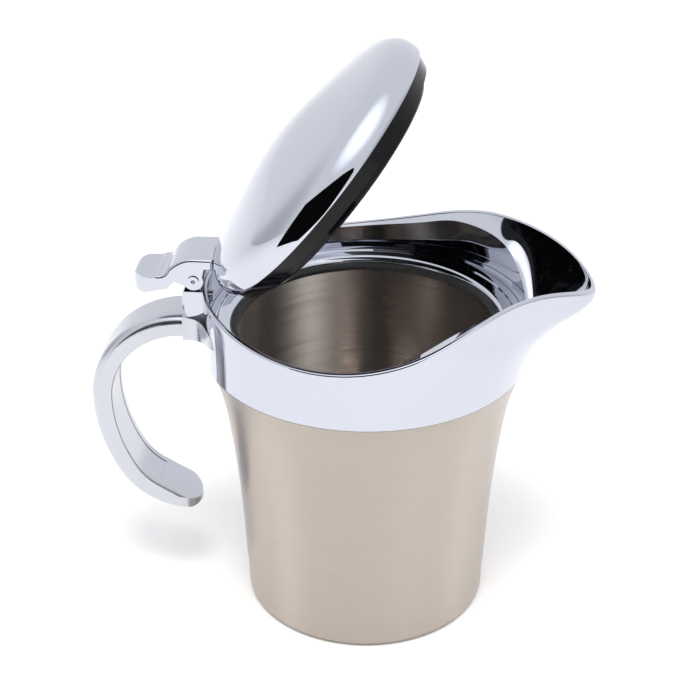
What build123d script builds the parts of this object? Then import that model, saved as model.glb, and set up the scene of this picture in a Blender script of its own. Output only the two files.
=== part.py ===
"""Insulated gravy boat: a double-walled steel jug with a chromed spout collar and a hinged lid.

Millimetres. +X runs to the spout, -X to the handle, +Z up. The origin is the centre of the foot,
on the table. The lid is drawn open, as it stands when it is filled.
"""

import os
from math import cos, pi, radians, sin, tan

from build123d import *

os.makedirs("parts", exist_ok=True)

# How far a cutter runs past what it cuts, and how closely a radius is matched when edges are picked
cut_past = 1.0
radius_match = 0.01

# Double-walled body
foot_r = 42.0
foot_fillet = 2.5
foot_band_top = 12.95
foot_band_r = 42.4
shell_start_r = 42.65
shell_waist_r = 44.5
shell_waist_z = 43.0
shell_belly_r = 47.5
shell_belly_z = 69.0
shell_flare_r = 49.6
shell_flare_z = 80.8
shell_wall = 0.7
seam_z = 95.0
seam_r = 54.5
seam_line = 0.15
foot_floor = 1.4
foot_groove_r = 31.0
foot_groove_width = 2.0
foot_groove_depth = 0.5
joggle_r = 41.3
closure_z = 5.0
closure_wall = 0.8
closure_dish_r = 12.0
closure_dish = 1.5
closure_taper = 45.0

# Inner cup and the neck where it is welded to the shell
cup_wall = 0.7
cup_floor_z = 9.0
cup_floor_r = 38.0
cup_corner = 9.0
cup_mid_r = 42.0
cup_mid_z = 64.0
cup_mouth_r = 43.5
neck_z = 102.2
neck_flange_r = 47.6
neck_root_r = 52.4
neck_root_height = 3.0
neck_slope_z = seam_z + neck_root_height
gasket_height = 2.1
gasket_r = 47.0
gasket_chamfer = 0.8

# Collar with the pouring spout
collar_wall = 1.3
collar_top_r = 57.5
collar_flare_z = 117.0
collar_shift = 2.7
collar_bore_gap = 0.15
spout_reach = 75.8
spout_top_z = 119.5
spout_depart = 10.0
spout_spread = 1.25
spout_draw = 1.4
spout_draw_low = 112.0
spout_draw_rise = 10.0
spout_start = 75.0
spout_rise = 32.0
flank_arm = 0.304
flank_reach = 1.083
flank_reach_loss = 0.617
flank_width = 0.493
flank_width_gain = 0.045
nose_width = 0.267
nose_width_gain = 0.145
stock_top_z = 134.0
hollow_headroom = 2.0
well_side = 3.5
well_r = collar_top_r - well_side
well_shift = 0.6
trough_side_low = 4.0
trough_side_grow = 0.08
trough_shoulder_z = 119.0
collar_levels = [98.0, 101.0, 104.0, 107.0, 110.0, 113.0, 116.0, 119.5, 123.0, 127.0, 130.0]
level_gap = 1.5
rim_hinge_z = 119.9
rim_low_z = 116.2
rim_low_x = -18.0
rim_flank_z = 121.6
rim_flank_x = 20.0
rim_peak_z = 130.4
rim_peak_x = 50.0
rim_tip_z = 121.6
rim_past_tip = 4.0
rim_fillet = 0.5
ledge_z = 108.0
seat_z = neck_z + cup_wall + gasket_height
seat_play = 1.0
seat_r = well_r - seat_play
seat_gap = 0.1
lip_r = 45.2
lip_fillet = 1.6

# Hinge, with the lever drawn as it stands when the lid is open by lever_drawn_at
hinge_out = 2.2
hinge_x = collar_shift - collar_top_r - hinge_out
block_top = 118.5
hinge_rise = 4.3
hinge_z = block_top + hinge_rise
lid_open = 51.5
pin_r = 1.5
pin_run = 0.05
pin_head_r = 1.9
pin_head_height = 0.5
pin_ring_r = 2.4
pin_ring_height = 0.8
dimple_r = 0.7
washer_r = 2.9
washer_thickness = 0.4
eye_r = 3.2
eye_half = 5.5
eye_neck_left = 3.0
eye_neck_right = 1.5
block_half = 8.8
block_left = hinge_x - 4.3
block_upper = 6.5
block_split = block_top - block_upper
block_neck_left = hinge_x - 3.3
block_foot_left = hinge_x - 2.4
block_bevel = 0.8
lever_drawn_at = 51.5
lever_half = 9.4
lever_fillet = 0.8
cheek_inner = 6.0
cheek_r = 3.3
cheek_web = [(3.3, 0.0), (4.0, 3.2), (4.5, 5.0), (-4.3, 5.0), (-7.1, -0.4), (-2.6, -2.0)]
strap_top = 7.9
strap_low = 4.0
strap_root_x = 12.0
lever_back = [(-5.6, 6.2), (-8.3, 3.9)]
tab_start = (-11.9, 1.4)
tab_dish = (-16.5, 0.7)
tab_tip = (-20.4, 0.4)
tab_end_x = -21.4
tab_end = [(tab_end_x, -1.2), (tab_end_x, -3.6)]
tab_heel = (-19.6, -4.9)
tab_under = [(-15.2, -4.6), (-11.3, -3.7)]
tab_root = (-8.9, -3.1)
tab_corner = 7.0
strap_low_x = -1.6
strap_bend = (-4.3, 1.9)

# Lid
lid_r = 50.16
lid_offset = 55.5
lid_drop = 9.9
lid_band = 4.5
lid_wall = 1.0
dome_height = 18.0
dome_points = [(47.9, 8.2), (42.8, 10.7), (25.0, 14.9)]
dome_start_pull = 0.5
plug_r = 43.2
plug_depth = 7.5
plug_wall = 2.0
plug_shoulder = 4.6
plug_shoulder_in = 43.5
plug_shoulder_out = 47.4
plug_flange = 2.0
plug_fillet = 0.8
foam_gap = 0.3

# Handle
handle_half = 9.2
handle_thickness = 7.2
handle_top_z = 108.8
handle_turn_x = hinge_x - 4.5
handle_top_r = 33.0
handle_side_r = 61.4
handle_side_turn = 29.6
handle_foot_r = 28.0
handle_outer_fillet = 2.6
handle_inner_fillet = 0.7
tail_x = hinge_x - 1.7
tail_slope = 30.0
tail_round = 7.0
root_half = 29.2
root_tip_x = hinge_x + 10.7
root_tip_z = 107.2
root_low_z = 100.4
root_flare = [(hinge_x + 2.8, 13.5), (hinge_x + 5.5, 19.6)]
root_low_side = (20.0, 104.0)
root_high_side = (24.5, 109.3)
root_inside_x = hinge_x + 12.0
strip_start = 105.0
cover_half = 6.3
cover_thickness = 2.2
pocket_half = 6.4
pocket_depth = 2.4

# Screws
screw_r = 1.4
screw_clearance = 0.1
screw_head_r = 2.0
screw_head_height = 1.3
handle_screw_length = 8.0
handle_screw_y = 5.0
handle_screw_z = 102.9
knuckle_screw_length = 6.5
knuckle_screw_drop = 5.5
knuckle_screw_z = block_top - knuckle_screw_drop
knuckle_head_play = 0.2
knuckle_screw_seat = well_shift - well_r + knuckle_head_play
handle_head_play = 0.65
handle_screw_seat = handle_head_play - neck_root_r - collar_bore_gap
lever_screw_y = 5.0
lever_screw_rise = 5.95
lever_screw_seat = 8.8
lever_screw_length = 9.0


def shell_points(inset):
    """Side line of the shell, from the foot band up to the seam, moved in by the wall."""
    return [
        (shell_start_r - inset, foot_band_top + inset),
        (shell_waist_r - inset, shell_waist_z),
        (shell_belly_r - inset, shell_belly_z),
        (shell_flare_r - inset, shell_flare_z),
        (seam_r - inset, seam_z - inset),
    ]


def arc_point(centre, radius, angle):
    """Point on a circle by its angle in degrees."""
    return (centre[0] + radius * cos(radians(angle)), centre[1] + radius * sin(radians(angle)))


def collar_radius(z):
    """Radius of the collar's round back wall at a height."""
    flare = min(1.0, max(0.0, (z - seam_z) / (collar_flare_z - seam_z)))
    return seam_r + (collar_top_r - seam_r) * flare


def collar_centre(z):
    """How far the round back wall's centre has moved towards the spout at a height."""
    flare = min(1.0, max(0.0, (z - seam_z) / (collar_flare_z - seam_z)))
    return collar_shift * flare


def spout_tip(z):
    """How far the spout reaches at a height: a quarter of a cosine wave."""
    rise = min(1.0, (z - seam_z) / (spout_top_z - seam_z))
    return seam_r + (spout_reach - seam_r) * (1 - cos(pi / 2 * rise))


def trough_side(z):
    """Thickness of metal beside the trough: it grows up to the shoulder, then thins to the rim."""
    if z < trough_shoulder_z:
        return trough_side_low + trough_side_grow * (z - ledge_z)
    full = trough_side_low + trough_side_grow * (trough_shoulder_z - ledge_z)
    left = max(0.0, (rim_peak_z - z) / (rim_peak_z - trough_shoulder_z))
    return collar_wall + (full - collar_wall) * left


def collar_section(z, inset=0.0, tip_inset=0.0):
    """Plan outline of the collar at a height: a round back and two flanks drawn out to the spout."""
    centre = collar_centre(z)
    radius = collar_radius(z) - inset
    tip = spout_tip(z) - tip_inset
    climb = min(z - seam_z, spout_rise)
    rise = climb / spout_rise
    start = radians(spout_start)
    depart = radians(spout_depart + spout_spread * climb)
    drawn = radius - spout_draw * min(1.0, max(0.0, (z - spout_draw_low) / spout_draw_rise))
    # The middle points of a Bezier curve that stands in for an arc lie this far along its tangents
    arm = 4 / 3 * tan((start - depart) / 4) * radius
    back = (centre + radius * cos(start), radius * sin(start))
    leave = (centre + drawn * cos(depart), drawn * sin(depart))
    reach = tip - leave[0]
    shoulder = flank_reach - flank_reach_loss * rise
    turned = [
        back,
        (back[0] + arm * sin(start), back[1] - arm * cos(start)),
        (leave[0] - arm * sin(depart), leave[1] + arm * cos(depart)),
        leave,
    ]
    drawn_out = [
        leave,
        (leave[0] + flank_arm * reach * sin(depart), leave[1] - flank_arm * reach * cos(depart)),
        (leave[0] + shoulder * reach, leave[1] * (flank_width + flank_width_gain * rise)),
        (tip, leave[1] * (nose_width + nose_width_gain * rise)),
        (tip, 0),
    ]
    rear = (centre - radius, 0)
    middle = (centre + radius * cos((pi + start) / 2), radius * sin((pi + start) / 2))
    edges = []
    for side in (1, -1):
        arc = [Vector(x, side * y, z) for x, y in (rear, middle, back)]
        edges.append(Edge.make_three_point_arc(*arc))
        for points in (turned, drawn_out):
            edges.append(Edge.make_bezier(*[Vector(x, side * y, z) for x, y in points]))
    return Face(Wire(edges[:3] + edges[:2:-1]))


def loft_levels(low, high):
    """Heights at which the collar's outlines are drawn, whole at the top, before the rim is cut."""
    return [low] + [level for level in collar_levels if level > low + level_gap] + [high]


def pin_along_y(x, z, radius, low, high):
    """Round bar along Y, as a loose solid."""
    with BuildPart() as bar:
        with BuildSketch(Plane(origin=(x, low, z), x_dir=(1, 0, 0), z_dir=(0, 1, 0))):
            Circle(radius)
        extrude(amount=high - low)
    return bar.part


def round_bar(seat, radius, length):
    """Round bar from the origin of a plane along its normal, as a loose solid."""
    with BuildPart(seat) as bar:
        Cylinder(radius, length, align=(Align.CENTER, Align.CENTER, Align.MIN))
    return bar.part


def handle_screw_bar(side, radius):
    """Bar where a screw runs from inside the collar into the handle's root."""
    seat = Plane(origin=(handle_screw_seat, side * handle_screw_y, handle_screw_z), z_dir=(-1, 0, 0))
    return round_bar(seat, radius, handle_screw_length)


def block_screw_bar(radius):
    """Bar where the hinge block's screw runs from inside the collar into the block."""
    seat = Plane(origin=(knuckle_screw_seat, 0, knuckle_screw_z), z_dir=(-1, 0, 0))
    return round_bar(seat, radius, knuckle_screw_length)


def lever_screw_seat_plane(side):
    """Plane under a lever screw's head, inside the lid, facing along the strap."""
    angle = radians(lid_open - lever_drawn_at)
    x = hinge_x + lever_screw_seat * cos(angle) - lever_screw_rise * sin(angle)
    z = hinge_z + lever_screw_seat * sin(angle) + lever_screw_rise * cos(angle)
    return Plane(origin=(x, side * lever_screw_y, z), z_dir=(-cos(angle), 0, -sin(angle)))


def lever_screw_bar(side, radius):
    """Bar where a screw runs from inside the lid into the lever's strap."""
    return round_bar(lever_screw_seat_plane(side), radius, lever_screw_length)


def screw_head(seat):
    """Pan head that stands behind the origin of a screw's plane."""
    with BuildPart(seat) as head:
        Cylinder(screw_head_r, screw_head_height, align=(Align.CENTER, Align.CENTER, Align.MAX))
    return head.part


# Outer shell: joggled over the foot, drawn up to the seam, necked in under the collar
with BuildPart() as outer_shell:
    with BuildSketch(Plane.XZ):
        with BuildLine():
            Spline(*shell_points(0))
            Polyline(
                (seam_r, seam_z),
                (neck_root_r, seam_z),
                (neck_root_r, neck_slope_z),
                (neck_flange_r, neck_z - shell_wall),
                (neck_flange_r, neck_z),
                (cup_mouth_r + cup_wall, neck_z),
                (cup_mouth_r + cup_wall, neck_z - shell_wall),
                (neck_flange_r - shell_wall, neck_z - shell_wall),
                (neck_root_r - shell_wall, neck_slope_z - shell_wall),
                (neck_root_r - shell_wall, seam_z - shell_wall),
                (seam_r - shell_wall, seam_z - shell_wall),
            )
            Spline(*shell_points(shell_wall))
            Polyline(
                (shell_start_r - shell_wall, foot_band_top + shell_wall),
                (joggle_r - shell_wall, foot_band_top + shell_wall),
                (joggle_r - shell_wall, foot_floor),
                (joggle_r, foot_floor),
                (joggle_r, foot_band_top),
                (shell_start_r, foot_band_top),
            )
        make_face()
    revolve(axis=Axis.Z)
outer_shell.part.label = "outer_shell"
export_step(outer_shell.part, "parts/outer_shell.step")

# Foot: a turned steel cap under the shell, flat on the table
with BuildPart() as foot_cap:
    with BuildSketch(Plane.XZ):
        with BuildLine():
            Polyline(
                (0, 0),
                (foot_r, 0),
                (foot_band_r, foot_band_top - seam_line),
                (joggle_r, foot_band_top - seam_line),
                (joggle_r, foot_floor),
                (0, foot_floor),
                (0, 0),
            )
        make_face()
    revolve(axis=Axis.Z)
    fillet(foot_cap.edges().filter_by(GeomType.CIRCLE).group_by(Axis.Z)[0], foot_fillet)
    with BuildSketch(Plane.XY):
        Circle(foot_groove_r + foot_groove_width)
        Circle(foot_groove_r, mode=Mode.SUBTRACT)
    extrude(amount=foot_groove_depth, mode=Mode.SUBTRACT)
foot_cap.part.label = "foot_cap"
export_step(foot_cap.part, "parts/foot_cap.step")

# Closing disc welded inside the shell, which seals the vacuum space
with BuildPart() as vacuum_disc:
    with BuildSketch(Plane.XY.offset(closure_z)):
        Circle(joggle_r - shell_wall)
    extrude(amount=closure_wall)
    with BuildSketch(Plane.XY.offset(closure_z)):
        Circle(closure_dish_r)
    extrude(amount=-closure_dish, taper=closure_taper)
vacuum_disc.part.label = "vacuum_disc"
export_step(vacuum_disc.part, "parts/vacuum_disc.step")

# Inner cup: a tapered well with a flange that is welded on the shell's neck
with BuildPart() as inner_cup:
    for grow, way in ((cup_wall, Mode.ADD), (0, Mode.SUBTRACT)):
        with BuildSketch(Plane.XZ):
            with BuildLine():
                Polyline(
                    (0, cup_floor_z - grow),
                    (cup_floor_r + grow, cup_floor_z - grow),
                    (cup_mid_r + grow, cup_mid_z),
                    (cup_mouth_r + grow, neck_z + cup_wall),
                    (0, neck_z + cup_wall),
                    (0, cup_floor_z - grow),
                )
            make_face()
            corner = vertices().group_by(Axis.Y)[0].sort_by(Axis.X)[-1]
            fillet(corner, cup_corner + grow)
        revolve(axis=Axis.Z, mode=way)
    with BuildSketch(Plane.XY.offset(neck_z)):
        Circle(neck_flange_r)
        Circle(cup_mouth_r, mode=Mode.SUBTRACT)
    extrude(amount=cup_wall)
inner_cup.part.label = "inner_cup"
export_step(inner_cup.part, "parts/inner_cup.step")

# Dark gasket between the cup's flange and the seat ring
with BuildPart() as cup_gasket:
    with BuildSketch(Plane.XY.offset(neck_z + cup_wall)):
        Circle(gasket_r)
        Circle(cup_mouth_r, mode=Mode.SUBTRACT)
    extrude(amount=gasket_height)
    inner_rim = cup_gasket.edges().filter_by(GeomType.CIRCLE).sort_by(SortBy.RADIUS)[:2]
    chamfer(inner_rim.sort_by(Axis.Z)[-1], gasket_chamfer)
cup_gasket.part.label = "cup_gasket"
export_step(cup_gasket.part, "parts/cup_gasket.step")

# Collar: the flared form with its spout, hollowed out and cut along the saddle-shaped rim
with BuildPart() as collar_stock:
    loft(sections=[collar_section(z) for z in loft_levels(seam_z + seam_line, stock_top_z)])

# Its hollow: a round well, and a trough that opens out of the well along a crease
with BuildPart() as collar_hollow:
    trough_levels = loft_levels(ledge_z, stock_top_z + hollow_headroom)
    loft(sections=[collar_section(z, trough_side(z), collar_wall) for z in trough_levels])
    with BuildSketch(Plane.XY.offset(ledge_z)):
        with Locations((well_shift, 0)):
            Circle(well_r)
    extrude(amount=stock_top_z + hollow_headroom - ledge_z)

with BuildPart() as collar:
    add(collar_stock.part)
    add(collar_hollow.part, mode=Mode.SUBTRACT)
    with BuildSketch(Plane.XY.offset(seam_z)):
        Circle(neck_root_r + collar_bore_gap)
    extrude(amount=ledge_z - seam_z, mode=Mode.SUBTRACT)
    with BuildSketch(Plane.XY.offset(seat_z)):
        Circle(seat_r + seat_gap)
    extrude(amount=ledge_z - seat_z, mode=Mode.SUBTRACT)
    with BuildSketch(Plane.XZ):
        with BuildLine():
            rim = Spline(
                (-spout_reach, rim_hinge_z),
                (hinge_x, rim_hinge_z),
                (rim_low_x, rim_low_z),
                (rim_flank_x, rim_flank_z),
                (rim_peak_x, rim_peak_z),
                (spout_reach, rim_tip_z),
                (spout_reach + rim_past_tip, rim_tip_z - rim_past_tip),
            )
            Polyline(
                rim @ 1,
                (spout_reach + rim_past_tip, stock_top_z + cut_past),
                (-spout_reach, stock_top_z + cut_past),
                rim @ 0,
            )
        make_face()
    extrude(amount=2 * spout_reach, both=True, mode=Mode.SUBTRACT)
    rim_edges = collar.faces().filter_by(GeomType.EXTRUSION).edges()
    fillet(rim_edges.filter_by(lambda edge: abs((edge @ 0.5).Y) > rim_fillet), rim_fillet)
    for side in (-1, 1):
        add(handle_screw_bar(side, screw_r + screw_clearance), mode=Mode.SUBTRACT)
    add(block_screw_bar(screw_r + screw_clearance), mode=Mode.SUBTRACT)
collar.part.label = "collar"
export_step(collar.part, "parts/collar.step")

# Seat ring: the mirrored ledge inside the collar, with a rounded lip down into the mouth
with BuildPart() as seat_ring:
    with BuildSketch(Plane.XY.offset(seat_z)):
        Circle(seat_r)
        Circle(lip_r, mode=Mode.SUBTRACT)
    extrude(amount=ledge_z - seat_z)
    fillet(seat_ring.edges().group_by(Axis.Z)[-1].sort_by(SortBy.RADIUS)[0], lip_fillet)
seat_ring.part.label = "seat_ring"
export_step(seat_ring.part, "parts/seat_ring.step")

# Handle: a C-shaped band drawn from its side view, rounded along its edges, flared at the collar
top_centre = (handle_turn_x, handle_top_z - handle_top_r)
side_centre = (top_centre[0] - handle_top_r + handle_side_r, top_centre[1])
elbow_angle = 180 + handle_side_turn
foot_centre = arc_point(side_centre, handle_side_r - handle_foot_r, elbow_angle)
foot_turn = 90 - handle_side_turn
foot_low_z = foot_centre[1] - handle_foot_r
outer_radii = [handle_top_r, handle_side_r, handle_foot_r]
inner_radii = [radius - handle_thickness for radius in outer_radii]


def edges_with_radius(edges, radii):
    """The round edges among some edges whose radius is in a list."""
    round_edges = edges.filter_by(GeomType.CIRCLE)
    return round_edges.filter_by(lambda edge: min(abs(edge.radius - r) for r in radii) < radius_match)


def handle_strip(near, far):
    """Side view of a strip that follows the handle, between two depths under its outer line."""
    with BuildSketch() as section:
        with BuildLine():
            ends = []
            for depth in (near, far):
                top_arc = CenterArc(top_centre, handle_top_r - depth, strip_start, 180 - strip_start)
                CenterArc(side_centre, handle_side_r - depth, 180, handle_side_turn)
                foot_arc = CenterArc(foot_centre, handle_foot_r - depth, elbow_angle, foot_turn - tail_slope)
                ends += [top_arc @ 0, foot_arc @ 1]
            Line(ends[0], ends[2])
            Line(ends[1], ends[3])
        make_face()
    return section.sketch


with BuildPart() as handle_root:
    with BuildSketch(Plane.XY.offset(root_low_z)):
        with BuildLine():
            Spline(
                (handle_turn_x, handle_half),
                *root_flare,
                (root_tip_x, root_half),
                tangents=[(1, 0), (root_half, -root_tip_x)],
            )
            mirror(about=Plane.XZ)
            Line((handle_turn_x, handle_half), (handle_turn_x, -handle_half))
            Line((root_tip_x, root_half), (root_tip_x, -root_half))
        make_face()
    extrude(amount=handle_top_z)
    with BuildSketch(Plane.YZ):
        with BuildLine():
            Line((0, root_low_z), (handle_half, root_low_z))
            Spline((handle_half, root_low_z), root_low_side, (root_half, root_tip_z))
            Spline(
                (root_half, root_tip_z),
                root_high_side,
                (handle_half, handle_top_z),
                tangents=[(-1, 1), (-1, 0)],
            )
            Line((handle_half, handle_top_z), (0, handle_top_z))
            mirror(about=Plane.YZ)
        make_face()
    extrude(amount=2 * hinge_x, both=True, mode=Mode.INTERSECT)

with BuildPart() as handle_shell:
    with BuildSketch(Plane.XZ):
        with BuildLine():
            outer_top = CenterArc(top_centre, handle_top_r, 90, 90)
            CenterArc(side_centre, handle_side_r, 180, handle_side_turn)
            outer_foot = CenterArc(foot_centre, handle_foot_r, elbow_angle, foot_turn)
            bend = arc_point(foot_centre, inner_radii[2], 270 - tail_slope)
            tail_top = (tail_x, bend[1] - (tail_x - bend[0]) * tan(radians(tail_slope)))
            Polyline(outer_foot @ 1, (tail_x, foot_low_z), tail_top, bend)
            CenterArc(foot_centre, inner_radii[2], elbow_angle, foot_turn - tail_slope)
            CenterArc(side_centre, inner_radii[1], 180, handle_side_turn)
            inner_top = CenterArc(top_centre, inner_radii[0], 90, 90)
            Polyline(
                inner_top @ 0,
                (root_inside_x, handle_top_z - handle_thickness),
                (root_inside_x, handle_top_z),
                outer_top @ 0,
            )
        make_face()
    extrude(amount=handle_half, both=True)
    side_edges = handle_shell.faces().filter_by(Axis.Y).edges()
    level_edges = side_edges.filter_by(Axis.X).group_by(Axis.Z)
    fillet(edges_with_radius(side_edges, outer_radii) + level_edges[0] + level_edges[-1], handle_outer_fillet)
    side_edges = handle_shell.faces().filter_by(Axis.Y).edges()
    fillet(edges_with_radius(side_edges, inner_radii), handle_inner_fillet)
    with BuildSketch(Plane.XZ):
        add(handle_strip(handle_thickness - pocket_depth, handle_thickness + pocket_depth))
    extrude(amount=pocket_half, both=True, mode=Mode.SUBTRACT)
    with BuildSketch(Plane.XY.offset(foot_low_z)):
        with Locations((tail_x - tail_round / 2, 0)):
            Rectangle(tail_round, 3 * handle_half)
        with Locations((tail_x - tail_round, 0)):
            Ellipse(tail_round, handle_half, mode=Mode.SUBTRACT)
    extrude(amount=handle_foot_r, mode=Mode.SUBTRACT)
    add(handle_root.part)
    add(collar_stock.part, mode=Mode.SUBTRACT)
    for side in (-1, 1):
        add(handle_screw_bar(side, screw_r), mode=Mode.SUBTRACT)
handle_shell.part.label = "handle_shell"
export_step(handle_shell.part, "parts/handle_shell.step")

# Cover that closes the handle's inner side
with BuildPart() as handle_cover:
    with BuildSketch(Plane.XZ):
        add(handle_strip(handle_thickness - pocket_depth, handle_thickness - pocket_depth + cover_thickness))
    extrude(amount=cover_half, both=True)
handle_cover.part.label = "handle_cover"
export_step(handle_cover.part, "parts/handle_cover.step")

# Hinge block behind the collar, on top of the handle, with the eye that holds the pin
with BuildPart() as hinge_block:
    with BuildSketch(Plane.XZ):
        with BuildLine():
            Polyline(
                (root_inside_x, block_top),
                (block_left, block_top),
                (block_left, block_split),
                (block_neck_left, block_split - block_bevel),
                (block_foot_left, handle_top_z),
                (root_inside_x, handle_top_z),
                (root_inside_x, block_top),
            )
        make_face()
    extrude(amount=block_half, both=True)
    chamfer(hinge_block.faces().sort_by(Axis.X)[0].edges().filter_by(Axis.Z), block_bevel)
    chamfer(hinge_block.faces().sort_by(Axis.Z)[-1].edges().sort_by(Axis.X)[0], block_bevel)
    add(collar_stock.part, mode=Mode.SUBTRACT)
    with BuildSketch(Plane.XZ):
        with Locations((hinge_x, hinge_z)):
            Circle(eye_r)
        with BuildLine():
            Polyline(
                (hinge_x - eye_neck_left, hinge_z),
                (hinge_x - eye_neck_left, block_top - block_bevel),
                (hinge_x + eye_neck_right, block_top - block_bevel),
                (hinge_x + eye_neck_right, hinge_z),
                (hinge_x - eye_neck_left, hinge_z),
            )
        make_face()
    extrude(amount=eye_half, both=True)
    add(pin_along_y(hinge_x, hinge_z, pin_r + pin_run, -block_half, block_half), mode=Mode.SUBTRACT)
    add(block_screw_bar(screw_r), mode=Mode.SUBTRACT)
hinge_block.part.label = "hinge_block"
export_step(hinge_block.part, "parts/hinge_block.step")

# Friction washers beside the eye
with BuildPart() as hinge_washers:
    for side in (-1, 1):
        with BuildSketch(Plane((hinge_x, side * eye_half, hinge_z), x_dir=(1, 0, 0), z_dir=(0, side, 0))):
            Circle(washer_r)
            Circle(pin_r + pin_run, mode=Mode.SUBTRACT)
        extrude(amount=washer_thickness)
hinge_washers.part.label = "hinge_washers"
export_step(hinge_washers.part, "parts/hinge_washers.step")

# Hinge pin with a dimpled head on the near side, held by a push-on ring on the far side
with BuildPart() as hinge_pin:
    add(pin_along_y(hinge_x, hinge_z, pin_r, -lever_half, lever_half + pin_ring_height))
    add(pin_along_y(hinge_x, hinge_z, pin_head_r, -lever_half - pin_head_height, -lever_half))
    with Locations((hinge_x, -lever_half - pin_head_height, hinge_z)):
        Sphere(dimple_r, mode=Mode.SUBTRACT)
hinge_pin.part.label = "hinge_pin"
export_step(hinge_pin.part, "parts/hinge_pin.step")

with BuildPart() as pin_ring:
    add(pin_along_y(hinge_x, hinge_z, pin_ring_r, lever_half, lever_half + pin_ring_height))
    add(pin_along_y(hinge_x, hinge_z, pin_r, lever_half, lever_half + pin_ring_height), mode=Mode.SUBTRACT)
pin_ring.part.label = "pin_ring"
export_step(pin_ring.part, "parts/pin_ring.step")

# The lid's own frames, turned open about the hinge pin
turn = radians(lid_open)
lid_x = (cos(turn), 0, sin(turn))
lid_z = (-sin(turn), 0, cos(turn))
lid_centre = (
    hinge_x + lid_offset * cos(turn) + lid_drop * sin(turn),
    0,
    hinge_z + lid_offset * sin(turn) - lid_drop * cos(turn),
)
lid_section = Plane(origin=lid_centre, x_dir=lid_x, z_dir=(0, -1, 0))
lid_axis = Axis(lid_centre, lid_z)
lever_turn = radians(lid_open - lever_drawn_at)
lever_section = Plane(
    origin=(hinge_x, 0, hinge_z),
    x_dir=(cos(lever_turn), 0, sin(lever_turn)),
    z_dir=(0, -1, 0),
)


def dome_face(inset, floor):
    """Half section of the lid's dome above a floor, moved in from the outside."""
    with BuildSketch() as section:
        with BuildLine():
            Polyline(
                (0, dome_height - inset),
                (0, floor),
                (lid_r - inset, floor),
                (lid_r - inset, lid_band - inset),
            )
            Spline(
                (lid_r - inset, lid_band - inset),
                *[(r - inset, h - inset) for r, h in dome_points],
                (0, dome_height - inset),
                tangents=[(0, 1), (-1, 0)],
                tangent_scalars=[dome_start_pull, 1.0],
            )
        make_face()
    return section.sketch


with BuildPart() as lid_stock:
    with BuildSketch(lid_section):
        add(dome_face(0, 0))
    revolve(axis=lid_axis)

# Lid cap: the polished dome with its straight band
with BuildPart() as lid_cap:
    add(lid_stock.part)
    with BuildSketch(lid_section):
        add(dome_face(lid_wall, -cut_past))
    revolve(axis=lid_axis, mode=Mode.SUBTRACT)
    for side in (-1, 1):
        add(lever_screw_bar(side, screw_r + screw_clearance), mode=Mode.SUBTRACT)
lid_cap.part.label = "lid_cap"
export_step(lid_cap.part, "parts/lid_cap.step")

# Lid plug: the black pan under the lid, with a shoulder that sits on the ledge
with BuildPart() as lid_plug:
    with BuildSketch(lid_section):
        with BuildLine():
            Polyline(
                (0, -plug_depth),
                (plug_r, -plug_depth),
                (plug_shoulder_in, -plug_shoulder),
                (plug_shoulder_out, -plug_shoulder),
                (lid_r - lid_wall, 0),
                (lid_r - lid_wall, plug_flange),
                (plug_shoulder_in, plug_flange),
                (plug_shoulder_in, 0),
                (plug_r - plug_wall, plug_wall - plug_depth),
                (0, plug_wall - plug_depth),
                (0, -plug_depth),
            )
        make_face()
    revolve(axis=lid_axis)
    fillet(edges_with_radius(lid_plug.edges(), [plug_r]), plug_fillet)
lid_plug.part.label = "lid_plug"
export_step(lid_plug.part, "parts/lid_plug.step")

# Foam that fills the lid
with BuildPart() as lid_foam:
    with BuildSketch(lid_section):
        add(dome_face(lid_wall + foam_gap, plug_flange + foam_gap))
        with BuildLine():
            Polyline(
                (0, plug_flange + foam_gap),
                (0, plug_wall - plug_depth + foam_gap),
                (plug_r - plug_wall - foam_gap, plug_wall - plug_depth + foam_gap),
                (plug_shoulder_in - foam_gap, 0),
                (plug_shoulder_in - foam_gap, plug_flange + foam_gap),
                (0, plug_flange + foam_gap),
            )
        make_face()
    revolve(axis=lid_axis)
    for side in (-1, 1):
        pocket = lever_screw_seat_plane(side).offset(-screw_head_height - foam_gap)
        add(round_bar(pocket, screw_head_r + foam_gap, lever_screw_length), mode=Mode.SUBTRACT)
lid_foam.part.label = "lid_foam"
export_step(lid_foam.part, "parts/lid_foam.step")

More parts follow.
